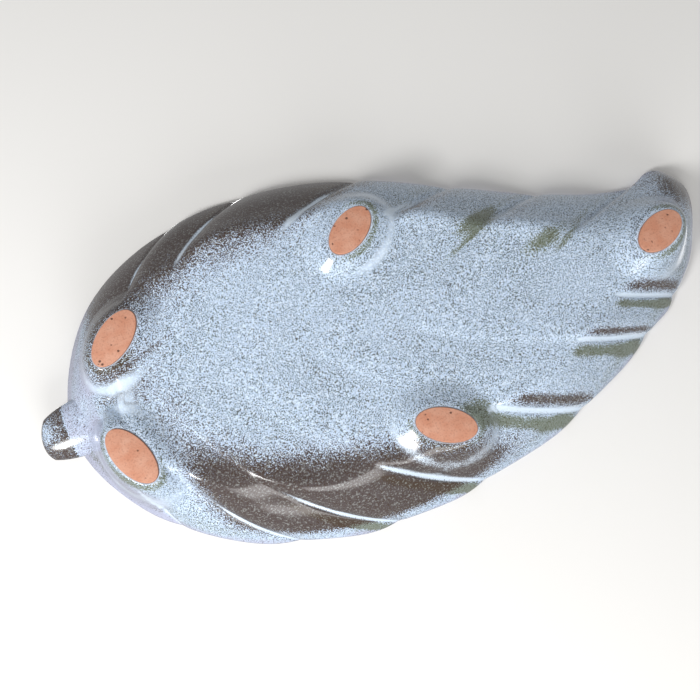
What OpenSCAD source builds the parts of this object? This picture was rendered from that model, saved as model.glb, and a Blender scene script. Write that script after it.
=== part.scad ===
// Leaf-shaped pottery ring dish: a shallow leaf bowl with a lobed rim, a short blunt stem and five oval feet.
// X runs from the stem to the tip, Z points up, and the bare ovals of the feet stand on Z = 0.

/* [Leaf] */
// Length of the leaf from its base to its tip, without the stem
leaf_length = 212; // [180:1:250]
// Width that the outline's shares refer to, close to the greatest width across the lobes
leaf_width = 114; // [96:1:134]
// Height of the rim above the surface that the dish stands on
rim_height = 28; // [24:0.5:36]
// Thickness of the clay at the floor
floor_wall = 5; // [4:0.25:6.5]
// Thickness of the clay at the rim
rim_wall = 4; // [3:0.25:5]
// Width of the sloping flank between the flat floor and the rim
flank_width = 21; // [17:0.5:25]

/* [Lobes] */
// How far a crease between two lobes sinks into the flank
crease_depth = 3; // [0.5:0.1:3.6]
// How far the rim steps in where a crease reaches it
notch_depth = 1.2; // [0.2:0.1:2]
// Depth of the midrib groove pressed into the inside of the floor
midrib_depth = 0.9; // [0.2:0.1:1.5]

/* [Stem] */
// How far the stem stands out from the base of the leaf
stem_length = 8; // [5:0.5:12]
// Width of the stem where it meets the leaf
stem_width = 18; // [13:0.5:20]
// Height of the stem where it meets the leaf
stem_height = 9.5; // [7:0.5:10.5]
// Turn of the stem away from the axis of the leaf
stem_turn = -5; // [-20:1:20]

/* [Feet] */
// Height of the flat floor above the surface that the dish stands on
foot_height = 4.2; // [3:0.1:6]
// Length of the bare clay oval on an average foot
pad_length = 17.5; // [14:0.5:20]
// Width of the bare clay oval on every foot
pad_width = 9.8; // [8:0.1:11]
// Height of the bare clay oval below the rolled edge of the glaze
pad_height = 0.8; // [0.4:0.1:1.2]
// Step from the bare clay oval out to the rolled edge of the glaze
glaze_roll = 0.6; // [0.3:0.1:1]
// How far the glazed side of a foot spreads on its way to the leaf
foot_flare = 2.2; // [1:0.1:3]

/* [Hidden] */

// Outline of the right side from the base to the tip. Each row is a share of the leaf's length, a share of its
// width, and 1 where a crease reaches the rim. The first and last rows are shared by both sides.
RIGHT_RIM = [
    [0.000, 0.000, 0],
    [0.070, -0.290, 0],
    [0.240, -0.448, 1],
    [0.350, -0.456, 1],
    [0.533, -0.378, 1],
    [0.663, -0.258, 1],
    [0.783, -0.144, 1],
    [0.918, -0.061, 1],
    [0.970, -0.072, 0],
    [1.000, -0.005, 0]
];
// Outline of the left side, in the same form
LEFT_RIM = [
    [0.000, 0.000, 0],
    [0.098, 0.352, 1],
    [0.250, 0.512, 1],
    [0.393, 0.568, 1],
    [0.535, 0.556, 1],
    [0.711, 0.481, 1],
    [0.848, 0.361, 1],
    [0.913, 0.288, 1],
    [0.977, 0.150, 0],
    [1.000, -0.005, 0]
];
// Where the vein of each row leaves the midrib, as shares of the length and the width
VEIN_ROOTS = [
    [0.048, 0.002],
    [0.066, 0.004],
    [0.094, 0.008],
    [0.145, 0.016],
    [0.235, 0.034],
    [0.370, 0.070],
    [0.502, 0.098],
    [0.670, 0.122],
    [0.830, 0.106],
    [0.897, 0.064]
];
// Each foot: share of the length, share of the width, turn in degrees, and its oval's length over the average
FEET = [
    [0.129, -0.148, -38, 1.05],
    [0.097, 0.146, 67, 1.10],
    [0.483, -0.182, -33, 0.94],
    [0.500, 0.372, 31, 1.01],
    [0.880, 0.124, -23, 0.88]
];

GLAZE = "#8FA6C6";
BARE_CLAY = "#C27A4E";
BROWN_GLAZE = "#4A3A34";

// Columns of points between two rows of the outline, and the rows' count on one side
per_lobe = 7;
last_row = len(RIGHT_RIM) - 1;
half_loop = last_row * per_lobe;
loop = 2 * half_loop;
// Shares of a vein from the midrib to the rim at which the surface has points
STEPS = [0, 0.1, 0.26, 0.4, 0.51, 0.6, 0.68, 0.75, 0.81, 0.87, 0.92, 0.965, 1];
rings = len(STEPS) - 1;
rim_arc = 5;

// How a vein sweeps: it leaves the midrib steeply and then bends towards the tip. It runs straight at the tip.
vein_bend = [0.38, 0.75];
straight_rows = [5.5, 8];
// The flank rises as this power of the way from the floor's edge to the rim
flank_curve = 1.8;
// A lobe rises steeply just past its crease and then sinks slowly, and its rim stands out furthest near its end
lobe_lean = 0.55;
tooth_lean = 2.2;
// The share of the crease's depth that is left at the rim
crease_at_rim = 0.55;
// The rolled rim reaches about this share of its thickness above the flank's outer edge
rim_roll = 0.75;
flank_rise = rim_height - rim_roll * rim_wall - foot_height;
// Flat seats in the leaf reach this far past the foot or stem that they carry, and then fade out
seat_margin = 2.5;
seat_fade = 6;

function unit(v) = v / norm(v);
function mix(a, b, t) = a + (b - a) * t;
function ease(low, high, x) = let (t = max(0, min(1, (x - low) / (high - low)))) t * t * (3 - 2 * t);
function turned(p, angle) = [p.x * cos(angle) - p.y * sin(angle), p.x * sin(angle) + p.y * cos(angle)];

// A smooth curve through four points, between the second and the third, with slopes that allow for their spacing
function slope(before, here, after, span) =
    let (back = norm(here - before), ahead = norm(after - here))
    span * ((here - before) / back - (after - before) / (back + ahead) + (after - here) / ahead);
function curve(a, b, c, d, t) =
    let (
        span = norm(c - b),
        leave = slope(a, b, c, span),
        arrive = slope(b, c, d, span)
    )
    (2 * t * t * t - 3 * t * t + 1) * b + (t * t * t - 2 * t * t + t) * leave
    + (3 * t * t - 2 * t * t * t) * c + (t * t * t - t * t) * arrive;

// The closed outline runs from the base along the right side to the tip and back along the left side
OUTLINE = [
    for (i = [0 : 2 * last_row - 1])
        let (row = i <= last_row ? RIGHT_RIM[i] : LEFT_RIM[2 * last_row - i])
        [row.x * leaf_length, row.y * leaf_width]
];
function outline_row(i) = OUTLINE[(i + 2 * last_row) % (2 * last_row)];
function outline_point(c) =
    let (i = floor(c / per_lobe), t = c / per_lobe - i)
    curve(outline_row(i - 1), outline_row(i), outline_row(i + 1), outline_row(i + 2), t);
ENVELOPE = [for (c = [0 : loop - 1]) outline_point(c)];
function around(c) = (c + loop) % loop;

// A column's place in the rows, counted from the base to the tip on either side
function row_of(c) = (c <= half_loop ? c : loop - c) / per_lobe;
function creased(c, i) = (c <= half_loop ? RIGHT_RIM[i] : LEFT_RIM[i]).z == 1;

// 1 on the crest of a lobe and 0 in its creases. A row without a crease keeps the crest's level.
function lobe(c, lean) =
    let (
        row = row_of(c),
        i = min(floor(row), last_row - 1),
        t = row - i,
        crest = pow(0.5, 1 / lean),
        level = t < crest ? !creased(c, i) : !creased(c, i + 1)
    )
    level ? 1 : sin(180 * pow(t, lean));

// The rim's outer edge, stepped in at the creases
function inward(c) = let (along = unit(ENVELOPE[around(c + 1)] - ENVELOPE[around(c - 1)])) [-along.y, along.x];
RIM = [for (c = [0 : loop - 1]) ENVELOPE[c] + notch_depth * (1 - lobe(c, tooth_lean)) * inward(c)];

function root_place(i) = [VEIN_ROOTS[i].x * leaf_length, VEIN_ROOTS[i].y * leaf_width];
function root_row(i) =
    i < 0 ? 2 * root_place(0) - root_place(1) :
    i > last_row ? 2 * root_place(last_row) - root_place(last_row - 1) :
    root_place(i);
function root(row) =
    let (i = min(floor(row), last_row - 1))
    curve(root_row(i - 1), root_row(i), root_row(i + 1), root_row(i + 2), row - i);

// A point on a column's vein, which bends from the midrib to the rim
function vein(c, t) =
    let (
        start = root(row_of(c)),
        stop = RIM[c],
        later = c > half_loop ? 1 : 0,
        bend = mix(vein_bend, [0.5, 0.5], ease(straight_rows[0] + later, straight_rows[1] + later, row_of(c))),
        middle = [mix(start.x, stop.x, bend.x), mix(start.y, stop.y, bend.y)]
    )
    (1 - t) * (1 - t) * start + 2 * t * (1 - t) * middle + t * t * stop;

function segment_gap(p, a, b) =
    let (t = max(0, min(1, (p - a) * (b - a) / ((b - a) * (b - a)))))
    norm(p - a - t * (b - a));
function side_gap(p, first) =
    min([for (c = [first : first + half_loop - 1]) segment_gap(p, ENVELOPE[c], ENVELOPE[around(c + 1)])]);
// Distance to the rim, where the distances to the two sides blend into each other in the narrow tip
side_blend = 3;
function rim_gap(p) =
    let (right = max(0.001, side_gap(p, 0)), left = max(0.001, side_gap(p, half_loop)))
    pow(pow(right, -side_blend) + pow(left, -side_blend), -1 / side_blend);

// Height of the smooth underside, and how far up the flank a point is, from 0 at the floor to 1 at the rim
function climb(gap) = max(0, 1 - gap / flank_width);
function underside(gap) = foot_height + flank_rise * pow(climb(gap), flank_curve);

// One ring of points for each step from the midrib to the rim
PLAN = [for (t = STEPS) [for (c = [0 : loop - 1]) vein(c, t)]];
GAPS = [for (ring = PLAN) [for (p = ring) rim_gap(p)]];
SMOOTH = [
    for (k = [0 : rings])
        [for (c = [0 : loop - 1]) [PLAN[k][c].x, PLAN[k][c].y, underside(GAPS[k][c])]]
];

// Normals of the smooth underside point up into the bowl
probe = 0.1;
function away(p, gap) = [rim_gap(p + [probe, 0]) - gap, rim_gap(p + [0, probe]) - gap] / probe;
function normal(k, c) =
    let (gap = GAPS[k][c], steepness = flank_rise * flank_curve / flank_width * pow(climb(gap), flank_curve - 1))
    climb(gap) == 0 ? [0, 0, 1] :
    let (lean = steepness * (k == rings ? inward(c) : away(PLAN[k][c], gap)))
    unit([lean.x, lean.y, 1]);
NORMALS = [for (k = [0 : rings]) [for (c = [0 : loop - 1]) normal(k, c)]];

// How far the creases push the flank into the bowl
function sink(k, c) =
    let (up = climb(GAPS[k][c]))
    crease_depth * (1 - lobe(c, lobe_lean)) * ease(0.05, 0.5, up) * mix(1, crease_at_rim, up * up);
function thickness(k, c) = mix(floor_wall, rim_wall, climb(GAPS[k][c]));

// Feet
function foot_place(i) = [FEET[i].x * leaf_length, FEET[i].y * leaf_width];
function foot_turn(i) = FEET[i][2];
function pad_size(i) = [pad_length * FEET[i][3], pad_width];

// 1 above a foot's spread, fading to 0 a little outside it
function foot_cover(i, p) =
    let (
        local = turned(p - foot_place(i), -foot_turn(i)),
        spread = pad_size(i) / 2 + (glaze_roll + foot_flare) * [1, 1],
        out = norm([local.x / spread.x, local.y / spread.y]),
        beyond = norm(local) * (1 - 1 / max(out, 1))
    )
    1 - ease(seat_margin, seat_margin + seat_fade, beyond);

// Stem seat: a sloping plane on the outside of the base, where X follows from the height
stem_top = rim_height - rim_roll * rim_wall;
stem_low = stem_top - stem_height;
base_climb = pow((stem_low - foot_height) / flank_rise, 1 / flank_curve);
seat_slope = (1 - base_climb) * flank_width * pow(2, 1 / side_blend) / stem_height;
function stem_seat(z) = (stem_top - z) * seat_slope;
function stem_cover(p) =
    p.x > leaf_length / 4 ? 0 :
    (1 - ease(stem_width / 2 + seat_margin, stem_width / 2 + seat_margin + seat_fade, abs(p.y)))
    * ease(stem_low - seat_fade, stem_low, p.z);

// The underside that is built: creased, and swollen down to a flat seat where a foot or the stem is joined on
function under_point(k, c) =
    let (
        p = SMOOTH[k][c],
        cover = max([for (i = [0 : len(FEET) - 1]) foot_cover(i, PLAN[k][c])]),
        plain = [p.x, p.y, mix(p.z + sink(k, c), foot_height, cover)],
        joined = stem_cover(plain)
    )
    [mix(plain.x, stem_seat(plain.z), joined), plain.y, plain.z];
// The inside is rounder than the underside: below the rim it is set off less sideways than the normal says
inner_lean = 0.7;
function inner_point(k, c) =
    let (
        wall = thickness(k, c) - (k == 0 ? midrib_depth : 0),
        lean = mix(inner_lean, 1, ease(0.5, 1, climb(GAPS[k][c]))),
        n = NORMALS[k][c]
    )
    SMOOTH[k][c] + wall * [lean * n.x, lean * n.y, n.z] + [0, 0, sink(k, c)];

UNDER = [for (k = [0 : rings]) [for (c = [0 : loop - 1]) under_point(k, c)]];
INNER = [for (k = [0 : rings]) [for (c = [0 : loop - 1]) inner_point(k, c)]];

// The rim is rolled round from the underside to the inside
function rim_point(c, a) =
    let (
        low = UNDER[rings][c],
        high = INNER[rings][c],
        half = norm(high - low) / 2,
        across = unit(high - low),
        along = UNDER[rings][around(c + 1)] - UNDER[rings][around(c - 1)],
        out = unit(cross(along, across))
    )
    (low + high) / 2 - half * cos(180 * a / rim_arc) * across + half * sin(180 * a / rim_arc) * out;

LEAF_RINGS = concat(
    [for (k = [1 : rings]) UNDER[k]],
    [for (a = [1 : rim_arc - 1]) [for (c = [0 : loop - 1]) rim_point(c, a)]],
    [for (k = [rings : -1 : 1]) INNER[k]]
);
UNDER_MIDRIB = [for (c = [0 : half_loop]) UNDER[0][c]];
INNER_MIDRIB = [for (c = [0 : half_loop]) INNER[0][c]];

// Flat lists of a ring stack's points and of the triangles between its rings
function flat(lists) = [for (list = lists) for (item = list) item];
function strip(first, second, c, next) = [[first + c, second + c, second + next], [first + c, second + next, first + next]];
function rib(c) = let (j = around(c)) j <= half_loop ? j : loop - j;

leaf_points = concat(UNDER_MIDRIB, flat(LEAF_RINGS), INNER_MIDRIB);
first_ring = half_loop + 1;
last_ring = first_ring + (len(LEAF_RINGS) - 1) * loop;
inner_rib = last_ring + loop;
leaf_faces = concat(
    [for (c = [0 : loop - 1]) [rib(c), first_ring + c, first_ring + around(c + 1)]],
    [for (c = [0 : loop - 1]) [rib(c), first_ring + around(c + 1), rib(c + 1)]],
    flat([
        for (j = [0 : len(LEAF_RINGS) - 2])
            for (c = [0 : loop - 1])
                strip(first_ring + j * loop, first_ring + (j + 1) * loop, c, around(c + 1))
    ]),
    [for (c = [0 : loop - 1]) [last_ring + c, inner_rib + rib(c), inner_rib + rib(c + 1)]],
    [for (c = [0 : loop - 1]) [last_ring + c, inner_rib + rib(c + 1), last_ring + around(c + 1)]]
);

// Stem: rings of a rounded section along a short bend, closed by a blunt rounded end
stem_sides = 28;
STEM_STEPS = [0, 0.3, 0.55, 0.75, 0.88, 0.96, 1];
// Lower values make the section rounder, higher values squarer
stem_corner = 2.3;
// Lower values taper the stem from its root, higher values keep it thick up to its end
stem_blunt = 2.6;
function rounded(angle, power) =
    [sign(cos(angle)) * pow(abs(cos(angle)), 2 / power), sign(sin(angle)) * pow(abs(sin(angle)), 2 / power)];
function stem_swell(t) = pow(1 - pow(t, stem_blunt), 1 / stem_corner);
function stem_point(t, angle) =
    let (
        swell = max(0.12, stem_swell(t)),
        side = rounded(angle, stem_corner),
        y = side.x * stem_width / 2 * swell,
        z = (stem_top + stem_low) / 2 + side.y * stem_height / 2 * swell,
        turn = stem_turn * t,
        reach = stem_length * t
    )
    [
        mix(stem_seat(z), 0, min(1, 1.4 * t)) - reach * cos(turn / 2) + y * sin(turn),
        y * cos(turn) - reach * sin(turn / 2),
        z
    ];
STEM_RINGS = [
    for (t = STEM_STEPS)
        [for (j = [0 : stem_sides - 1]) stem_point(t, 360 * j / stem_sides)]
];
stem_last = (len(STEM_STEPS) - 1) * stem_sides;
stem_faces = concat(
    [[for (j = [stem_sides - 1 : -1 : 0]) j]],
    flat([
        for (k = [0 : len(STEM_STEPS) - 2])
            for (j = [0 : stem_sides - 1])
                strip((k + 1) * stem_sides, k * stem_sides, j, (j + 1) % stem_sides)
    ]),
    [[for (j = [0 : stem_sides - 1]) stem_last + j]]
);

// Foot: an oval mound between the rolled edge of the glaze and the flat seat in the leaf
foot_sides = 36;
FOOT_STEPS = [0, 0.2, 0.45, 0.72, 1];
flare_curve = 1.7;
function oval(size, grow) = [
    for (j = [0 : foot_sides - 1])
        let (angle = 360 * j / foot_sides)
        [(size.x / 2 + grow) * cos(angle), (size.y / 2 + grow) * sin(angle)]
];
function mound_ring(i, t) = [
    for (q = oval(pad_size(i), glaze_roll + foot_flare * pow(t, flare_curve)))
        let (p = foot_place(i) + turned(q, foot_turn(i)))
        [p.x, p.y, mix(pad_height, foot_height, t)]
];
foot_last = (len(FOOT_STEPS) - 1) * foot_sides;
foot_faces = concat(
    [[for (j = [0 : foot_sides - 1]) j]],
    flat([
        for (k = [0 : len(FOOT_STEPS) - 2])
            for (j = [0 : foot_sides - 1])
                strip(k * foot_sides, (k + 1) * foot_sides, j, (j + 1) % foot_sides)
    ]),
    [[for (j = [foot_sides - 1 : -1 : 0]) foot_last + j]]
);

// The part's origin is below the centre of its bounding box
ALL_X = concat([for (p = leaf_points) p.x], [for (p = flat(STEM_RINGS)) p.x]);
ALL_Y = [for (p = leaf_points) p.y];
middle = [(min(ALL_X) + max(ALL_X)) / 2, (min(ALL_Y) + max(ALL_Y)) / 2, 0];

module leaf_bowl() {
    color(GLAZE)
        translate(-middle)
            polyhedron(points = leaf_points, faces = leaf_faces, convexity = 8);
}

module stem() {
    color(BROWN_GLAZE)
        translate(-middle)
            polyhedron(points = flat(STEM_RINGS), faces = stem_faces, convexity = 3);
}

module foot(i) {
    translate(-middle) {
        color(GLAZE)
            polyhedron(points = flat([for (t = FOOT_STEPS) mound_ring(i, t)]), faces = foot_faces, convexity = 3);
        color(BARE_CLAY)
            translate([foot_place(i).x, foot_place(i).y, 0])
                rotate([0, 0, foot_turn(i)])
                    linear_extrude(pad_height)
                        polygon(oval(pad_size(i), 0));
    }
}

leaf_bowl();
stem();
foot(0);  // stem_foot_right
foot(1);  // stem_foot_left
foot(2);  // middle_foot_right
foot(3);  // middle_foot_left
foot(4);  // tip_foot
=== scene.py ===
import enum
import logging
import math
from dataclasses import dataclass, field

import bmesh
import bpy
import numpy as np
from mathutils import Matrix, Vector
from mathutils.bvhtree import BVHTree
from mathutils.kdtree import KDTree


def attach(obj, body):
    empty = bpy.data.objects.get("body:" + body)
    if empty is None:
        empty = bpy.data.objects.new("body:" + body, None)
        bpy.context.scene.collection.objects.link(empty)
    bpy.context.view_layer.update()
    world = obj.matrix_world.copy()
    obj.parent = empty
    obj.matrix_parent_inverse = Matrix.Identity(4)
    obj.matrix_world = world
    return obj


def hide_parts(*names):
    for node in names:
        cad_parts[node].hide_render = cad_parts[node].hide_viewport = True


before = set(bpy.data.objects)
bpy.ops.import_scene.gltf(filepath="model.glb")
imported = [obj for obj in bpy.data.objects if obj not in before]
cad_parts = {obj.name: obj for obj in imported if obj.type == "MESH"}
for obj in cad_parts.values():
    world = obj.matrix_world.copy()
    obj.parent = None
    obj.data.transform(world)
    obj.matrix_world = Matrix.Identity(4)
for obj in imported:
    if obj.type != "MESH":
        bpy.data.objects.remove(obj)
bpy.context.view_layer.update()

MM = 0.001
BODY = "root"
LOG = logging.getLogger("ring_dish")


def unit(v: np.ndarray) -> np.ndarray:
    """Vectors of length one along the last axis."""
    return v / np.maximum(np.linalg.norm(v, axis=-1, keepdims=True), 1e-12)


def mix(a, b, t):
    """The value a share t of the way from a to b."""
    return a + (b - a) * t


def ease(low: float, high: float, x):
    """0 below low and 1 above high, smooth in between."""
    t = np.clip((x - low) / (high - low), 0, 1)
    return t * t * (3 - 2 * t)


def window(limits: tuple[float, float, float, float], x):
    """1 between the two inner limits and 0 outside the two outer ones."""
    return ease(limits[0], limits[1], x) * (1 - ease(limits[2], limits[3], x))


def bump(x, centre: float, width: float):
    """A bell of height one round a centre."""
    return np.exp(-(((x - centre) / width) ** 2))


def turned(p: np.ndarray, angle: float) -> np.ndarray:
    """Points of the plan turned about the origin by an angle in degrees."""
    c, s = math.cos(math.radians(angle)), math.sin(math.radians(angle))
    return np.stack([p[..., 0] * c - p[..., 1] * s, p[..., 0] * s + p[..., 1] * c], -1)


class Mark(enum.Enum):
    """What the glaze does, and where shade is painted, as values that each mesh carries in its points."""

    BROWN = "brown"
    OLIVE = "olive"
    POOL = "pool"
    # Painted shade on the crease walls and round the feet, and the dark band where the stem meets the leaf
    DARK = "dark"
    LILAC = "lilac"


Marks = dict[Mark, np.ndarray]

# Runs and blots of the glaze: mark, plan place, half length and half width in millimetres, turn, strength
RUNS = (
    (Mark.OLIVE, 139.0, -10.0, 8.5, 3.6, -14, 0.95),
    (Mark.OLIVE, 131.0, -4.5, 9.0, 0.8, -22, 0.75),
    (Mark.OLIVE, 155.0, 3.0, 8.5, 3.4, -14, 0.95),
    (Mark.OLIVE, 163.0, 4.5, 8.0, 0.9, -30, 0.75),
    (Mark.OLIVE, 117.0, 42.0, 6.0, 4.0, 20, 0.80),
    (Mark.BROWN, 124.0, -22.3, 7.0, 1.1, -16, 0.80),
    (Mark.POOL, 120.5, -24.0, 8.0, 0.9, -16, 0.70),
    (Mark.POOL, 24.0, 0.0, 8.0, 6.0, 0, 0.42),
    (Mark.BROWN, 37.0, -10.8, 12.0, 0.7, -18, 0.42),
    (Mark.BROWN, 206.0, -1.0, 13.0, 11.0, 0, 0.72),
)


@dataclass
class LeafForm:
    """The leaf's form in millimetres, with X from its base to its tip and Z up into the bowl."""

    length: float = 212.0
    width: float = 114.0
    rim_height: float = 28.0
    floor_wall: float = 5.0
    rim_wall: float = 4.0
    flank_width: float = 21.0
    floor_height: float = 4.2
    crease_depth: float = 3.7
    fold_depth: float = 1.1
    swell_height: float = 1.8
    swell_climb: tuple[float, float] = (0.20, 0.17)
    notch_depth: float = 1.2
    midrib_depth: float = 0.9
    flank_curve: float = 1.8
    side_blend: float = 3.0
    rim_roll: float = 0.75
    lobe_lean: float = 0.55
    tooth_lean: float = 2.2
    crease_at_rim: float = 0.45
    inner_lean: float = 0.7
    vein_bend: tuple[float, float] = (0.38, 0.75)
    straight_rows: tuple[float, float] = (5.5, 8.0)
    tip_rows: tuple[float, float] = (7.0, 8.0)
    tip_passes: int = 40
    per_lobe: int = 24
    steps: int = 44
    rim_arc: int = 8
    probe: float = 0.1
    stem_reach: float = 0.0
    right_rim: list[tuple[float, float, int]] = field(default_factory=lambda: [
        (0.000, 0.000, 0), (0.070, -0.290, 0), (0.240, -0.448, 1), (0.350, -0.456, 1), (0.533, -0.378, 1),
        (0.663, -0.258, 1), (0.783, -0.144, 1), (0.918, -0.061, 1), (0.970, -0.072, 0), (1.000, -0.005, 0)])
    left_rim: list[tuple[float, float, int]] = field(default_factory=lambda: [
        (0.000, 0.000, 0), (0.098, 0.352, 1), (0.250, 0.512, 1), (0.393, 0.568, 1), (0.535, 0.556, 1),
        (0.711, 0.481, 1), (0.848, 0.361, 1), (0.913, 0.288, 1), (0.977, 0.150, 0), (1.000, -0.005, 0)])
    vein_roots: list[tuple[float, float]] = field(default_factory=lambda: [
        (0.048, 0.002), (0.066, 0.004), (0.094, 0.008), (0.145, 0.016), (0.235, 0.034),
        (0.370, 0.070), (0.502, 0.098), (0.670, 0.122), (0.830, 0.106), (0.897, 0.064)])

    def __post_init__(self) -> None:
        """Works out the outline, the veins and the surfaces from the sizes."""
        self.rows = len(self.right_rim) - 1
        self.half = self.rows * self.per_lobe
        self.loop = 2 * self.half
        self.flank_rise = self.rim_height - self.rim_roll * self.rim_wall - self.floor_height
        column = np.arange(self.loop)
        self.row = np.where(column <= self.half, column, self.loop - column) / self.per_lobe
        self.is_left = column > self.half
        size = np.array([self.length, self.width])
        ring = [row[:2] for row in self.right_rim] + [row[:2] for row in self.left_rim[-2:0:-1]]
        self.envelope = self._curve(np.array(ring) * size, column / self.per_lobe, closed=True)
        along = unit(np.roll(self.envelope, -1, 0) - np.roll(self.envelope, 1, 0))
        self.inward = np.stack([-along[:, 1], along[:, 0]], -1)
        self.rim = self.envelope + self.notch_depth * (1 - self.lobe(self.tooth_lean))[:, None] * self.inward
        self.root = self._curve(np.array(self.vein_roots) * size, self.row, closed=False)
        self._surfaces()

    def _curve(self, points: np.ndarray, place: np.ndarray, closed: bool) -> np.ndarray:
        """Points on the smooth curve through the given ones, with slopes that allow for their spacing.

        Args:
            points: The points that the curve passes.
            place: Places along the curve, counted in points.
            closed: Whether the curve runs round to its start.

        Returns:
            One point for each place.
        """
        count = len(points)
        if closed:
            i = np.floor(place).astype(int) % count
            a, b, c, d = (points[(i + k) % count] for k in (-1, 0, 1, 2))
        else:
            i = np.minimum(np.floor(place).astype(int), count - 2)
            longer = np.vstack([2 * points[0] - points[1], points, 2 * points[-1] - points[-2]])
            a, b, c, d = (longer[i + k] for k in (0, 1, 2, 3))
        t = (place - np.floor(place) if closed else place - i)[:, None]
        span = np.linalg.norm(c - b, axis=-1, keepdims=True)

        def slope(before: np.ndarray, here: np.ndarray, after: np.ndarray) -> np.ndarray:
            """The slope at a point between its neighbours."""
            back = np.linalg.norm(here - before, axis=-1, keepdims=True)
            ahead = np.linalg.norm(after - here, axis=-1, keepdims=True)
            chord = (after - before) / (back + ahead)
            return span * ((here - before) / back - chord + (after - here) / ahead)

        leave, arrive = slope(a, b, c), slope(b, c, d)
        return ((2 * t**3 - 3 * t**2 + 1) * b + (t**3 - 2 * t**2 + t) * leave
                + (3 * t**2 - 2 * t**3) * c + (t**3 - t**2) * arrive)

    def phase(self) -> np.ndarray:
        """Each column's share of the way from one row to the next."""
        return self.row - np.minimum(np.floor(self.row), self.rows - 1)

    def creased(self, step: int) -> np.ndarray:
        """Whether the row before (0) or after (1) each column has a crease."""
        i = np.minimum(np.floor(self.row), self.rows - 1).astype(int) + step
        right = np.array([row[2] for row in self.right_rim])[i]
        left = np.array([row[2] for row in self.left_rim])[i]
        return np.where(self.is_left, left, right) == 1

    def lobe(self, lean: float) -> np.ndarray:
        """1 on the crest of a lobe and 0 in its creases, for each column."""
        t = self.phase()
        level = np.where(t < 0.5 ** (1 / lean), ~self.creased(0), ~self.creased(1))
        return np.where(level, 1.0, np.sin(np.pi * t**lean))

    def gap(self, p: np.ndarray) -> np.ndarray:
        """Distance of plan points from the rim, blended between the two sides."""
        flat = p.reshape(-1, 2)
        ends = np.vstack([self.envelope, self.envelope[:1]])
        sides = []
        for first in (0, self.half):
            a, b = ends[first:first + self.half:2], ends[first + 2:first + self.half + 2:2]
            run = b - a
            best = np.full(len(flat), 1e9)
            for start, along in zip(a, run):
                t = np.clip((flat - start) @ along / (along @ along), 0, 1)
                best = np.minimum(best, np.linalg.norm(flat - start - t[:, None] * along, axis=1))
            sides.append(np.maximum(best, 0.001) ** -self.side_blend)
        return ((sides[0] + sides[1]) ** (-1 / self.side_blend)).reshape(p.shape[:-1])

    def _surfaces(self) -> None:
        """Works out the rings of points of the underside, the inside and the rolled rim."""
        s = np.linspace(0, 1, self.steps + 1)
        t = (1 - (1 - s) ** 1.5)[:, None, None]
        later = self.is_left.astype(float)
        straight = ease(self.straight_rows[0], self.straight_rows[1], self.row - later)[:, None]
        share = mix(np.array(self.vein_bend), np.array([0.5, 0.5]), straight)
        middle = mix(self.root, self.rim, share)
        plan = (1 - t) ** 2 * self.root + 2 * t * (1 - t) * middle + t**2 * self.rim
        gaps = self.gap(plan)
        up = np.clip(1 - gaps / self.flank_width, 0, None)
        smooth = np.dstack([plan, self.floor_height + self.flank_rise * up**self.flank_curve])
        normals = self._normals(plan, gaps)
        lobes = self.lobe(self.lobe_lean)[None, :]
        phase = self.phase()
        fold = (bump(phase, 0, 0.045) * self.creased(0) + bump(phase, 1, 0.03) * self.creased(1))[None, :]
        reach = ease(0.05, 0.5, up)
        sink = (self.crease_depth * (1 - lobes) + self.fold_depth * fold) * reach
        sink = sink * mix(1, self.crease_at_rim, np.minimum(up, 1) ** 2)
        between = (self.creased(0) & self.creased(1))[None, :]
        sink = sink - self.swell_height * bump(up, *self.swell_climb) * lobes * between
        wall = mix(self.floor_wall, self.rim_wall, np.minimum(up, 1))
        rib = self.midrib_depth * bump(t[..., 0] * 18, 0, 0.8)
        lean = mix(self.inner_lean, 1, ease(0.5, 1, up))[..., None] * [1, 1, 0] + [0, 0, 1]
        lift = np.dstack([np.zeros_like(sink), np.zeros_like(sink), sink])
        self.under = smooth + lift
        self.inner = smooth + lift + (wall - rib)[..., None] * lean * normals
        for surface in (self.under, self.inner):
            surface[0, self.half + 1:] = surface[0, 1:self.half][::-1]
            self._calm_tip(surface)
        low, high = self.under[-1], self.inner[-1]
        radius = np.linalg.norm(high - low, axis=-1, keepdims=True) / 2
        across = unit(high - low)
        along = np.roll(low, -1, 0) - np.roll(low, 1, 0)
        out = unit(np.cross(along, across))
        turns = [math.pi * k / self.rim_arc for k in range(1, self.rim_arc)]
        arc = [(low + high) / 2 - radius * math.cos(a) * across + radius * math.sin(a) * out for a in turns]
        self.stack = np.concatenate([self.under, np.array(arc), self.inner[::-1]])
        edge = np.ones((len(arc), self.loop))
        self.up = np.concatenate([up, edge * 1.05, up[::-1] * 0 + 1.1])
        self.share = np.concatenate([np.broadcast_to(s[:, None], up.shape), edge,
                                     np.broadcast_to(s[::-1, None], up.shape)])
        self.inside = np.concatenate([up * 0, edge * 0.5, up * 0 + 1])
        self.near = np.concatenate([gaps, edge * 0, gaps[::-1]])

    def _calm_tip(self, surface: np.ndarray) -> None:
        """Evens out a surface between its midrib and its rim in the narrow tip, where its rings crowd."""
        share = ease(*self.tip_rows, self.row)[None, :, None] / 2
        for _ in range(self.tip_passes):
            beside = (np.roll(surface, 1, 1) + np.roll(surface, -1, 1))[1:-1]
            along = surface[2:] + surface[:-2]
            surface[1:-1] = mix(surface[1:-1], (beside + along) / 4, share)

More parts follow.
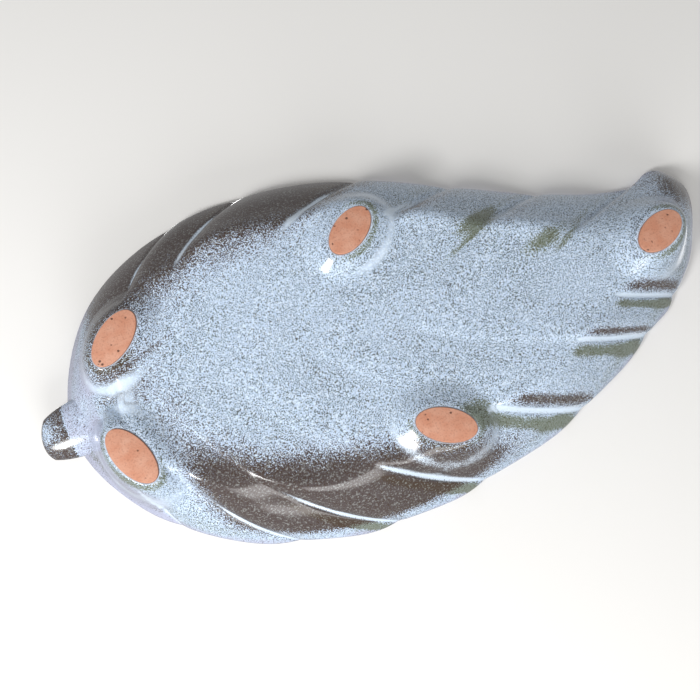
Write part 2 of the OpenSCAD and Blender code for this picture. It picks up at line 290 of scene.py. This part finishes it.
    def _normals(self, plan: np.ndarray, gaps: np.ndarray) -> np.ndarray:
        """Normals of the smooth underside, which point up into the bowl.

        Args:
            plan: The rings of plan points.
            gaps: Their distances from the rim.

        Returns:
            One normal for each point.
        """
        steps = ([self.probe, 0], [0, self.probe])
        away = np.stack([self.gap(plan + step) - gaps for step in steps], -1) / self.probe
        away[-1] = self.inward
        up = np.clip(1 - gaps / self.flank_width, 0, None)
        steepness = self.flank_rise * self.flank_curve / self.flank_width * up ** (self.flank_curve - 1)
        return unit(np.dstack([away * steepness[..., None], np.ones_like(gaps)]))

    def middle(self) -> np.ndarray:
        """The plan point that the part's origin lies under."""
        low, high = self.stack[..., :2].min((0, 1)), self.stack[..., :2].max((0, 1))
        low[0] = min(low[0], self.stem_reach)
        return (low + high) / 2


@dataclass(frozen=True)
class Tone:
    """Colours of the glaze where it is thick, thin or broken, and a near-black for painted shade and dark
    joins, as linear values.
    """

    blue: tuple = (0.480, 0.590, 0.745)
    pale: tuple = (0.700, 0.810, 0.930)
    speck: tuple = (0.075, 0.100, 0.090)
    brown: tuple = (0.050, 0.027, 0.017)
    olive: tuple = (0.110, 0.125, 0.050)
    lilac: tuple = (0.420, 0.430, 0.560)
    fleck: tuple = (0.300, 0.310, 0.290)
    # Near-black of the painted shade on the crease walls and round the feet, and of the dark band where the
    # stem meets the leaf
    dark: tuple = (0.014, 0.012, 0.012)
    clay: tuple = (0.500, 0.215, 0.130)
    clay_pale: tuple = (0.580, 0.310, 0.215)
    pit: tuple = (0.120, 0.050, 0.030)


class Shader:
    """A material's node tree, built up by small steps."""

    def __init__(self, name: str) -> None:
        """Starts a material that holds only its output and surface."""
        self.material = bpy.data.materials.new(name)
        self.material.use_nodes = True
        self.nodes = self.material.node_tree.nodes
        self.links = self.material.node_tree.links
        self.surface = self.nodes["Principled BSDF"]
        self.coords = self.nodes.new("ShaderNodeTexCoord").outputs["Object"]

    def noise(self, scale: float, detail: float = 2.0, rough: float = 0.5):
        """A noise value over the object, near 0.5 on average."""
        node = self.nodes.new("ShaderNodeTexNoise")
        node.inputs["Scale"].default_value = scale
        node.inputs["Detail"].default_value = detail
        node.inputs["Roughness"].default_value = rough
        self.links.new(self.coords, node.inputs["Vector"])
        return node.outputs["Fac"]

    def spots(self, scale: float):
        """The distance to the nearest of many scattered points."""
        node = self.nodes.new("ShaderNodeTexVoronoi")
        node.inputs["Scale"].default_value = scale
        self.links.new(self.coords, node.inputs["Vector"])
        return node.outputs["Distance"]

    def mark(self, mark: Mark):
        """A value that the mesh carries in each of its points."""
        node = self.nodes.new("ShaderNodeAttribute")
        node.attribute_name = mark.value
        return node.outputs["Fac"]

    def math(self, kind: str, a, b, c=None):
        """The result of one sum on sockets or numbers."""
        node = self.nodes.new("ShaderNodeMath")
        node.operation = kind
        for socket, value in zip(node.inputs, (a, b, c)):
            if isinstance(value, (int, float)):
                socket.default_value = value
            elif value is not None:
                self.links.new(value, socket)
        return node.outputs[0]

    def step(self, value, low: float, high: float):
        """0 where the value is below low and 1 above high."""
        node = self.nodes.new("ShaderNodeMapRange")
        node.interpolation_type = "SMOOTHSTEP"
        self.links.new(value, node.inputs["Value"])
        node.inputs["From Min"].default_value = low
        node.inputs["From Max"].default_value = high
        return node.outputs["Result"]

    def blend(self, share, a, b):
        """Colour a where the share is 0 and b where it is 1."""
        node = self.nodes.new("ShaderNodeMix")
        node.data_type = "RGBA"
        self.links.new(share, node.inputs["Factor"])
        for index, value in ((6, a), (7, b)):
            if isinstance(value, tuple):
                node.inputs[index].default_value = (*value, 1)
            else:
                self.links.new(value, node.inputs[index])
        return node.outputs[2]

    def finish(self, colour, rough, height, depth: float) -> bpy.types.Material:
        """Joins colour, roughness and relief to the surface.

        Args:
            colour: Socket of the base colour.
            rough: Socket of the roughness.
            height: Socket of the fine relief.
            depth: How far the relief reaches, in metres.

        Returns:
            The finished material.
        """
        relief = self.nodes.new("ShaderNodeBump")
        relief.inputs["Distance"].default_value = depth
        self.links.new(height, relief.inputs["Height"])
        self.links.new(relief.outputs["Normal"], self.surface.inputs["Normal"])
        self.links.new(colour, self.surface.inputs["Base Color"])
        self.links.new(rough, self.surface.inputs["Roughness"])
        return self.material


@dataclass(frozen=True)
class GlazeFinish:
    """Speckled reduction glaze that breaks brown on edges and pools blue in creases, with painted shade on
    the crease walls and round the feet.
    """

    name: str = "blue_glaze"
    tone: Tone = Tone()
    grain: float = 3100.0
    gloss: float = 0.17

    def make(self) -> bpy.types.Material:
        """Builds the material."""
        s = Shader(self.name)
        tone = self.tone
        fine, grain = s.noise(self.grain, 1.0), s.noise(self.grain * 0.55, 2.0, 0.6)
        cloud, run = s.noise(38, 3.0), s.noise(150, 3.0, 0.6)
        dots = s.math("MULTIPLY", s.math("SUBTRACT", fine, 0.5), 2.6)
        drift = s.math("MULTIPLY", s.math("SUBTRACT", run, 0.5), 1.0)

        def spread(mark: Mark, speckle: float, low: float, high: float, most: float):
            """Where a mark shows, broken up into specks at its borders."""
            scatter = s.math("ADD", s.math("MULTIPLY", dots, speckle), s.math("MULTIPLY", drift, 0.6))
            return s.math("MULTIPLY", s.step(s.math("ADD", s.mark(mark), scatter), low, high), most)

        speck = s.step(s.math("ADD", fine, s.math("MULTIPLY", cloud, 0.12)), 0.54, 0.68)
        base = s.blend(speck, tone.blue, tone.speck)
        base = s.blend(s.math("MULTIPLY", s.step(grain, 0.53, 0.60), 0.7), base, tone.pale)
        base = s.blend(spread(Mark.LILAC, 0.15, 0.30, 0.80, 0.85), base, tone.lilac)
        base = s.blend(spread(Mark.OLIVE, 0.75, 0.40, 0.62, 0.80), base, tone.olive)
        flecks = s.blend(s.math("MULTIPLY", s.step(grain, 0.54, 0.66), 0.55), tone.brown, tone.fleck)
        base = s.blend(spread(Mark.BROWN, 1.25, 0.42, 0.60, 0.94), base, flecks)
        base = s.blend(spread(Mark.POOL, 0.35, 0.38, 0.72, 0.85), base, tone.pale)
        # Painted shade: the dark mark lays near-black on the crease walls and on each boss's side away from
        # the light, and darkens the join of stem and leaf
        base = s.blend(spread(Mark.DARK, 0.7, 0.42, 0.72, 0.88), base, tone.dark)
        rough = s.math("MULTIPLY_ADD", grain, 0.12, self.gloss - 0.05)
        return s.finish(base, rough, s.math("ADD", cloud, s.math("MULTIPLY", fine, 0.03)), 0.00025)


@dataclass(frozen=True)
class ClayFinish:
    """Bare fired clay, rubbed and pitted, with darker specks."""

    name: str = "bare_clay"
    tone: Tone = Tone()

    def make(self) -> bpy.types.Material:
        """Builds the material."""
        s = Shader(self.name)
        fine, cloud = s.noise(1800, 2.0), s.noise(260, 3.0)
        base = s.blend(s.step(cloud, 0.25, 0.85), self.tone.clay, self.tone.clay_pale)
        pits = s.math("SUBTRACT", 1.0, s.step(s.spots(420), 0.10, 0.22))
        few = s.math("MULTIPLY", pits, s.step(s.noise(330, 1.0), 0.44, 0.54))
        smudge = s.math("MULTIPLY", s.step(fine, 0.52, 0.66), 0.22)
        base = s.blend(smudge, s.blend(few, base, self.tone.pit), self.tone.pit)
        height = s.math("SUBTRACT", s.math("MULTIPLY", fine, 0.35), few)
        return s.finish(base, s.math("MULTIPLY_ADD", fine, 0.15, 0.68), height, 0.0002)


def placed(bm: bmesh.types.BMesh, name: str, material: bpy.types.Material) -> bpy.types.Object:
    """Turns a bmesh in metres into a smooth-shaded object at the origin.

    Args:
        bm: The mesh, which is freed.
        name: The object's name.
        material: The object's only material.

    Returns:
        The new object.
    """
    bmesh.ops.recalc_face_normals(bm, faces=bm.faces)
    mesh = bpy.data.meshes.new(name)
    bm.to_mesh(mesh)
    bm.free()
    mesh.shade_smooth()
    mesh.materials.append(material)
    obj = bpy.data.objects.new(name, mesh)
    bpy.context.scene.collection.objects.link(obj)
    return obj


def grid_mesh(rings: np.ndarray, marks: Marks) -> bmesh.types.BMesh:
    """A grid of faces laid over closed rings of points in metres.

    Args:
        rings: Points, ring by ring.
        marks: Values of the same shape, kept in the mesh under their names.

    Returns:
        The mesh, with its seam merged.
    """
    count, loop = rings.shape[:2]
    bm = bmesh.new()
    layers = {mark: bm.verts.layers.float.new(mark.value) for mark in marks}
    bmesh.ops.create_grid(bm, x_segments=loop, y_segments=count - 1, size=1.0)
    for vertex in bm.verts:
        i = round((vertex.co.x + 1) / 2 * loop) % loop
        j = round((vertex.co.y + 1) / 2 * (count - 1))
        vertex.co = rings[j, i]
        for mark, layer in layers.items():
            vertex[layer] = float(marks[mark][j, i])
    bmesh.ops.remove_doubles(bm, verts=bm.verts, dist=1e-6)
    return bm


@dataclass
class Foot:
    """One oval foot: a glazed boss that flows out of the leaf, and its bare oval of clay."""

    name: str
    place: np.ndarray
    turn: float
    pad: tuple[float, float]
    # Plan direction in degrees of the side of the boss where shade is painted
    shade: float
    pad_height: float = 0.8
    roll: float = 0.6
    roll_steps: int = 3
    roll_share: float = 0.5
    roll_depth: float = 0.55
    roll_drop: float = 0.4
    rim_buried: float = 0.05
    seat: float = 0.15
    pad_buried: float = 1.2
    pad_edge: float = 0.22
    spread: float = 9.0
    spread_curve: float = 1.2
    bead: tuple[float, float] = (0.1, 0.45)
    olive_ring: tuple[float, float] = (1.6, 1.4)
    painted_shade_ring: tuple[float, float] = (1.8, 1.9)
    pale_ring: tuple[float, float] = (6.5, 2.2)
    lilac_ring: tuple[float, float] = (6.0, 3.0)
    sides: int = 96
    steps: int = 26

    def oval(self, grow: float) -> np.ndarray:
        """The oval's plan points, grown outwards, about the leaf's own origin."""
        angle = np.linspace(0, 2 * np.pi, self.sides, endpoint=False)
        size = np.array(self.pad) / 2 + grow
        plan = np.stack([np.cos(angle) * size[0], np.sin(angle) * size[1]], -1)
        return turned(plan, self.turn) + self.place

    def halo(self, plan: np.ndarray) -> Marks:
        """What the glaze does round the bare oval, where it thins and gathers, with a near-black ring of
        painted shade on the side away from the light.

        Args:
            plan: Plan points in millimetres about the leaf's own origin.

        Returns:
            Shares to add to the marks at those points.
        """
        local = turned(plan - self.place, -self.turn)
        ovals = np.linalg.norm(local / (np.array(self.pad) / 2), axis=-1)
        off = np.linalg.norm(local, axis=-1) * (ovals - 1) / np.maximum(ovals, 0.1)
        facing = math.radians(self.shade)
        side = unit(plan - self.place) @ np.array([math.cos(facing), math.sin(facing)])
        # How far a point lies on the side picked as shaded: there the dark ring paints shade, and the olive,
        # pale and lilac rings are stronger on the other, lit side
        shaded = ease(-0.5, 0.8, side)
        return {
            Mark.OLIVE: bump(off, *self.olive_ring) * mix(0.75, 0.35, shaded),
            Mark.POOL: bump(off, *self.bead) * 0.65 + bump(off, *self.pale_ring) * mix(0.52, 0.22, shaded),
            Mark.DARK: bump(off, *self.painted_shade_ring) * shaded * 0.50,
            Mark.LILAC: bump(off, *self.lilac_ring) * (1 - shaded) * 0.35,
        }

    def build_boss(self, leaf: "LeafBowl", glaze: bpy.types.Material) -> bpy.types.Object:
        """Builds the glazed boss between the bare oval and the leaf, which it flows into.

        Args:
            leaf: The leaf, with its faces and marks.
            glaze: The glaze's material.

        Returns:
            The boss.
        """
        rings = []
        edge = self.roll * self.roll_share
        for k in range(self.roll_steps + 1):
            angle = math.pi / 2 * k / self.roll_steps
            z = self.pad_height + self.seat - self.roll * self.roll_depth * math.sin(angle)
            rings.append(np.column_stack([self.oval(edge * (1 - math.cos(angle))), np.full(self.sides, z)]))
        low = self.pad_height - self.roll * self.roll_drop
        for k in range(1, self.steps + 1):
            share = k / self.steps
            plan = self.oval(edge + self.spread * share**self.spread_curve)
            base = leaf.heights(plan) + self.rim_buried * share
            rings.append(np.column_stack([plan, mix(low, base, ease(0, 1, share))]))
        stack = np.array(rings)
        marks = leaf.marks_near(stack[..., :2])
        stack[..., :2] -= leaf.middle
        return placed(grid_mesh(stack * MM, marks), f"{self.name}_boss", glaze)

    def build_pad(self, middle: np.ndarray, clay: bpy.types.Material) -> bpy.types.Object:
        """Builds the flat bare oval that the dish stands on."""
        bm = bmesh.new()
        bmesh.ops.create_circle(bm, cap_ends=True, segments=self.sides, radius=1.0)
        top = bmesh.ops.extrude_face_region(bm, geom=bm.faces[:])
        raised = [v for v in top["geom"] if isinstance(v, bmesh.types.BMVert)]
        bmesh.ops.translate(bm, verts=raised, vec=(0, 0, 1))
        size = Vector((self.pad[0] / 2 * MM, self.pad[1] / 2 * MM, (self.pad_height + self.pad_buried) * MM))
        bmesh.ops.scale(bm, verts=bm.verts, vec=size)
        rim = [e for e in bm.edges if all(v.co.z < 1e-6 for v in e.verts)]
        bmesh.ops.bevel(bm, geom=rim, offset=self.pad_edge * MM, segments=3, profile=0.5, affect="EDGES")
        turn = Matrix.Rotation(math.radians(self.turn), 3, "Z")
        bmesh.ops.rotate(bm, verts=bm.verts, cent=(0, 0, 0), matrix=turn)
        bmesh.ops.translate(bm, verts=bm.verts, vec=(*((self.place - middle) * MM), 0))
        return placed(bm, f"{self.name}_pad", clay)


@dataclass(frozen=True)
class GlazeMap:
    """Where the glaze changes and where shade is painted: rows of lobes, climbs of the flank and millimetres
    from the rim.
    """

    flank_climb: tuple = (0.04, 0.30)
    edge_climb: tuple = (0.80, 1.0)
    line_climb: tuple = (0.02, 0.16)
    vein_share: tuple = (0.30, 0.55)
    streak_share: tuple = (0.30, 0.50)
    streak_reach: tuple = (4, 10, 19, 26)
    right_reach: tuple = (5, 34)
    left_reach: tuple = (1, 7, 12, 34)
    left_start: tuple = (24, 44)
    right_start: tuple = (6, 30)
    right_rows: tuple = (0.4, 1.3, 3.6, 4.6)
    left_rows: tuple = (1.2, 2.6, 3.8, 5.0)
    late_rows: tuple = (4.2, 4.9)
    tip_rows: tuple = (8.1, 8.9)
    olive_rows: tuple = (1.8, 3.0)
    crease_shade_rows: tuple = (0.9, 1.4)
    base_rows: tuple = (0.6, 1.6)
    olive_rim: tuple = (3.5, 2.5)
    line_width: float = 0.045
    streak_width: float = 0.075
    streak_edge: float = 0.05
    midrib_width: float = 0.03


@dataclass
class LeafBowl:
    """The leaf-shaped bowl, with lobed flanks, veins and a rolled rim."""

    form: LeafForm
    feet: list[Foot]
    map: GlazeMap = GlazeMap()

    def __post_init__(self) -> None:
        """Works out the glaze marks once, for the leaf and for the bosses on it."""
        self.middle = self.form.middle()
        self.own_marks = self.flank_marks()
        self.under_count = self.form.steps + 1
        under = self.form.stack[:self.under_count, :, :2].reshape(-1, 2)
        self.finder = KDTree(len(under))
        for index, point in enumerate(under):
            self.finder.insert((*point, 0), index)
        self.finder.balance()

    def flank_marks(self) -> Marks:
        """Where the glaze breaks, pools and runs by lobe, and where shade is painted on the crease walls,
        for each point of the form.
        """
        f, where = self.form, self.map
        up, near = f.up, f.near
        phase, row, left = (np.broadcast_to(v[None, :], up.shape) for v in (f.phase(), f.row, f.is_left))
        before, after = (np.broadcast_to(f.creased(k)[None, :], up.shape).astype(float) for k in (0, 1))
        outer_half = ease(*where.vein_share, f.share)
        flank = ease(*where.flank_climb, up) * outer_half
        edge = ease(*where.edge_climb, up)
        tip = ease(*where.tip_rows, row)
        late = ease(*where.late_rows, row) * (1 - tip)
        early = 1 - ease(*where.right_rows[2:], row)
        inward = window(where.streak_reach, near) * early * ease(*where.streak_share, f.share)

        def beside(place: float, width: float):
            """A band past each crease, or before the next one where the place is over half a lobe."""
            return bump(phase, place, width) * (after if place > 0.5 else before)

        line = beside(0, where.line_width) + beside(1, where.line_width)
        streak = beside(0, where.streak_width) + beside(1, where.streak_edge)
        sides = beside(0.14, 0.05) + beside(0.90, 0.04)
        brown_right = window(where.right_rows, row) * (1 - ease(*where.right_reach, near)) * 1.55
        brown_left = window(where.left_rows, row) * window(where.left_reach, near) * 2.0
        brown_left = brown_left * ease(*where.left_start, f.stack[..., 0])
        brown_right = brown_right * ease(*where.right_start, f.stack[..., 0])
        brown = np.where(left, brown_left, brown_right + sides * inward * 0.35)
        brown = brown + beside(0.15, 0.10) * flank * np.where(left, 1.1, 0.35) * late * (1 - edge * 0.6)
        brown = brown + tip * flank * 0.40
        olive = beside(0.86, 0.09) * flank * np.where(left, 1.0, 0.4) * ease(*where.olive_rows, row)
        olive = olive + bump(near, *where.olive_rim) * np.where(left, 0.42, 0.30) * (1 - late * ~left)
        pool = line * ease(*where.line_climb, up) * ease(*where.streak_share, f.share)
        pool = np.where(left, pool, pool * 0.35 + streak * inward)
        pool = pool * (1 - edge * 0.5) * 0.95
        # Painted shade: near-black lines on the walls at both sides of each crease, on the flank
        dark = beside(0.065, 0.028) * flank * 0.70 + beside(0.95, 0.022) * flank * 0.55
        dark = dark * ease(*where.crease_shade_rows, row) * (1 - tip)
        base = 1 - ease(*where.base_rows, row)
        lilac = edge * 0.62 + base * ease(0, 0.5, up) * 0.55 + tip * 0.3
        made = {Mark.BROWN: brown, Mark.OLIVE: olive, Mark.POOL: pool, Mark.DARK: dark, Mark.LILAC: lilac}
        strength = np.where(f.inside == 0, 1.0, np.where(f.inside == 1, 0.25, 0.7))
        made = {mark: value * strength for mark, value in made.items()}
        rolled = (f.inside == 0.5).astype(float)
        made[Mark.LILAC] = made[Mark.LILAC] + rolled * 0.35
        made[Mark.BROWN] = made[Mark.BROWN] + rolled * 0.12
        made[Mark.POOL] = made[Mark.POOL] + (f.inside == 1) * bump(f.share, 0, where.midrib_width) * 0.6
        return made

    def stained(self, plan: np.ndarray, marks: Marks) -> Marks:
        """Marks of the flank with the olive runs and the halos of the feet added.

        Args:
            plan: Plan points in millimetres about the leaf's own origin.
            marks: The flank's marks at those points.

        Returns:
            New marks.
        """
        made = {mark: value.copy() for mark, value in marks.items()}
        for mark, x, y, long, wide, turn, strength in RUNS:
            local = turned(plan - [x, y], -turn)
            made[mark] += strength * bump(local[..., 0], 0, long) * bump(local[..., 1], 0, wide)
        for foot in self.feet:
            for mark, value in foot.halo(plan).items():
                made[mark] += value
        return made

    def marks_near(self, plan: np.ndarray) -> Marks:
        """The marks of the underside at plan points beside or under it."""
        flat = plan.reshape(-1, 2)
        nearest = np.array([self.finder.find((*point, 0))[1] for point in flat])
        under = {mark: value[:self.under_count].reshape(-1)[nearest].reshape(plan.shape[:-1])
                 for mark, value in self.own_marks.items()}
        return self.stained(plan, under)

    def heights(self, plan: np.ndarray) -> np.ndarray:
        """Heights of the underside in millimetres over plan points, by rays from below."""
        made = []
        for x, y in plan - self.middle:
            hit = self.tree.ray_cast(Vector((x * MM, y * MM, -0.05)), Vector((0, 0, 1)))
            made.append(hit[0].z / MM if hit[0] is not None else self.form.rim_height - self.form.rim_wall)
        return np.array(made)

    def build(self, glaze: bpy.types.Material) -> bpy.types.Object:
        """Builds the bowl and keeps its faces for the bosses to flow into."""
        outer = self.form.inside < 1
        stained = self.stained(self.form.stack[..., :2], self.own_marks)
        marks = {mark: np.where(outer, stained[mark], value) for mark, value in self.own_marks.items()}
        bm = grid_mesh((self.form.stack - np.append(self.middle, 0)) * MM, marks)
        self.tree = BVHTree.FromBMesh(bm)
        return placed(bm, "leaf_shell", glaze)


@dataclass
class Stem:
    """The short blunt stem at the leaf's base."""

    length: float = 8.0
    width: float = 18.0
    height: float = 9.5
    turn: float = -5.0
    top: float = 25.0
    corner: float = 2.1
    blunt: float = 2.1
    buried: float = 3.5
    sides: int = 96
    steps: int = 40

    def build(self, middle: np.ndarray, glaze: bpy.types.Material) -> bpy.types.Object:
        """Builds the stem as rings of a rounded section along a short bend."""
        angle = np.linspace(0, 2 * np.pi, self.sides, endpoint=False)
        power = 2 / self.corner
        side = np.sign(np.cos(angle)) * np.abs(np.cos(angle)) ** power
        rise = np.sign(np.sin(angle)) * np.abs(np.sin(angle)) ** power
        rings = []
        for k in range(self.steps + 1):
            t = 1 - (1 - k / self.steps) ** 1.6
            swell = max(0.0, 1 - t**self.blunt) ** (1 / self.corner)
            y = side * self.width / 2 * swell
            z = self.top - self.height / 2 + rise * self.height / 2 * swell
            bend = math.radians(self.turn * t)
            start = (self.top - z) * 0.8 + self.buried
            x = start * (1 - min(1, 1.4 * t)) - self.length * t * math.cos(bend / 2) + y * math.sin(bend)
            rings.append(np.column_stack([x, y * math.cos(bend) - self.length * t * math.sin(bend / 2), z]))
        stack = np.array(rings)
        over = ease(0.6, 1.6, stack[..., 0])
        face = ease(0.2, 0.7, (self.top - self.height / 2 - stack[..., 2]) / (self.height / 2))
        face = face * bump(stack[..., 1], -1.5, 5.0) * bump(stack[..., 0], -5.5, 4.5)
        marks = {
            Mark.BROWN: (1.1 - 0.85 * face) * (1 - over),
            Mark.OLIVE: 0.15 + 0 * over,
            Mark.POOL: 0.22 * face * (1 - over),
            Mark.DARK: 0.45 * bump(stack[..., 0], 0.7, 0.5),
            Mark.LILAC: 0.55 * over,
        }
        stack[..., :2] -= middle
        return placed(grid_mesh(stack * MM, marks), "leaf_stalk", glaze)


@dataclass
class Studio:
    """Camera, lamps, floor and backdrop."""

    tilt: float = 8.5
    turn: float = 22.39
    place: tuple[float, float, float] = (-0.02646, 0.03747, -0.22676)
    sensor: float = 36.0
    focal_share: float = 800 / 700
    sheet_size: float = 2.5
    sheet_colour: tuple[float, float, float] = (0.78, 0.77, 0.75)
    floor_height: float = -0.0001
    backdrop_height: float = 0.0282
    light_level: float = 0.45
    seen_level: float = 0.92
    lamps: tuple = (
        ("window_below", (-0.34, 0.14, -0.34), 1.9, 0.12),
        ("fill_below", (-0.08, 0.46, -0.24), 1.5, 0.30),
        ("window_above", (-0.10, -0.16, 0.60), 2.6, 0.30),
        ("fill_above", (0.16, 0.10, 0.55), 0.8, 0.5),
    )

    def camera(self) -> None:
        """Sets the camera where the photograph was taken, below the standing dish."""
        c, s = math.cos(math.radians(self.turn)), math.sin(math.radians(self.turn))
        ct, st = math.cos(math.radians(self.tilt)), math.sin(math.radians(self.tilt))
        right, above, back = (c, s, 0), (s * ct, -c * ct, -st), (-s * st, c * st, -ct)
        data = bpy.data.cameras.new("view")
        data.lens, data.sensor_width = self.sensor * self.focal_share, self.sensor
        data.clip_start, data.clip_end = 0.005, 20.0
        obj = bpy.data.objects.new("view", data)
        turn = Matrix((right, above, back)).transposed().to_4x4()
        obj.matrix_world = Matrix.Translation(self.place) @ turn
        bpy.context.scene.collection.objects.link(obj)
        bpy.context.scene.camera = obj

    def lamp(self, name: str, place: tuple, power: float, size: float) -> None:
        """Adds a soft square lamp that faces the dish."""
        data = bpy.data.lights.new(name, "AREA")
        data.energy, data.size = power, size
        obj = bpy.data.objects.new(name, data)
        obj.location = place
        obj.rotation_euler = (-Vector(place)).to_track_quat("-Z", "Y").to_euler()
        bpy.context.scene.collection.objects.link(obj)

    def sheet(self, name: str, height: float, faces_up: bool) -> None:
        """Adds a wide plane that shows only from its front and gives no light back."""
        bm = bmesh.new()
        bmesh.ops.create_grid(bm, x_segments=1, y_segments=1, size=self.sheet_size)
        if not faces_up:
            bmesh.ops.reverse_faces(bm, faces=bm.faces)
        bmesh.ops.translate(bm, verts=bm.verts, vec=(0, 0, height))
        mesh = bpy.data.meshes.new(name)
        bm.to_mesh(mesh)
        bm.free()
        obj = bpy.data.objects.new(name, mesh)
        bpy.context.scene.collection.objects.link(obj)
        shader = Shader(name)
        shader.surface.inputs["Base Color"].default_value = (*self.sheet_colour, 1)
        shader.surface.inputs["Roughness"].default_value = 0.9
        shader.surface.inputs["Specular IOR Level"].default_value = 0.1
        clear = shader.nodes.new("ShaderNodeBsdfTransparent")
        choice = shader.nodes.new("ShaderNodeMixShader")
        side = shader.nodes.new("ShaderNodeNewGeometry")
        shader.links.new(side.outputs["Backfacing"], choice.inputs["Fac"])
        shader.links.new(shader.surface.outputs[0], choice.inputs[1])
        shader.links.new(clear.outputs[0], choice.inputs[2])
        shader.links.new(choice.outputs[0], shader.nodes["Material Output"].inputs["Surface"])
        mesh.materials.append(shader.material)
        for ray in ("shadow", "diffuse", "glossy", "transmission"):
            setattr(obj, f"visible_{ray}", False)

    def world(self) -> None:
        """Sets an even light all round, with a pale backdrop."""
        world = bpy.data.worlds.new("studio")
        bpy.context.scene.world = world
        world.use_nodes = True
        nodes, links = world.node_tree.nodes, world.node_tree.links
        background = nodes["Background"]
        background.inputs["Color"].default_value = (1, 1, 1, 1)
        rays = nodes.new("ShaderNodeLightPath")
        strength = nodes.new("ShaderNodeMapRange")
        strength.inputs["To Min"].default_value = self.light_level
        strength.inputs["To Max"].default_value = self.seen_level
        links.new(rays.outputs["Is Camera Ray"], strength.inputs["Value"])
        links.new(strength.outputs["Result"], background.inputs["Strength"])

    def build(self) -> None:
        """Builds everything round the dish."""
        self.camera()
        for lamp in self.lamps:
            self.lamp(*lamp)
        self.sheet("floor", self.floor_height, True)
        self.sheet("backdrop", self.backdrop_height, False)
        self.world()
        bpy.context.scene.view_settings.view_transform = "Standard"


def keep(piece: bpy.types.Object, node: str) -> None:
    """Lets a piece stand for a node of the frame and reports it."""
    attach(piece, BODY)
    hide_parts(node)
    LOG.info("%s stands for %s: %d faces", piece.name, node, len(piece.data.polygons))


def main() -> None:
    """Builds the dish and its setting."""
    logging.basicConfig(level=logging.INFO, format="%(message)s")
    stem = Stem()
    form = LeafForm(stem_reach=-stem.length)
    feet = []
    # Feet: name, plan place as shares of length and width, turn, pad length share, and the plan direction of
    # the side painted in shade round the boss
    for name, x, y, turn, share, shade in (
        ("stem_foot_right", 0.129, -0.148, -38, 1.05, -22),
        ("stem_foot_left", 0.097, 0.146, 67, 1.10, -45),
        ("middle_foot_right", 0.483, -0.182, -33, 0.94, -158),
        ("middle_foot_left", 0.500, 0.372, 31, 1.01, -66),
        ("tip_foot", 0.880, 0.124, -23, 0.88, -158),
    ):
        place = np.array([x * form.length, y * form.width])
        feet.append(Foot(name, place, turn, (17.5 * share, 9.8), shade))
    glaze, clay = GlazeFinish().make(), ClayFinish().make()
    leaf = LeafBowl(form, feet)
    keep(leaf.build(glaze), "leaf_bowl")
    keep(stem.build(leaf.middle, glaze), "stem")
    for foot in feet:
        keep(foot.build_boss(leaf, glaze), foot.name)
        keep(foot.build_pad(leaf.middle, clay), foot.name)
    Studio().build()


if __name__ == "__main__":
    main()
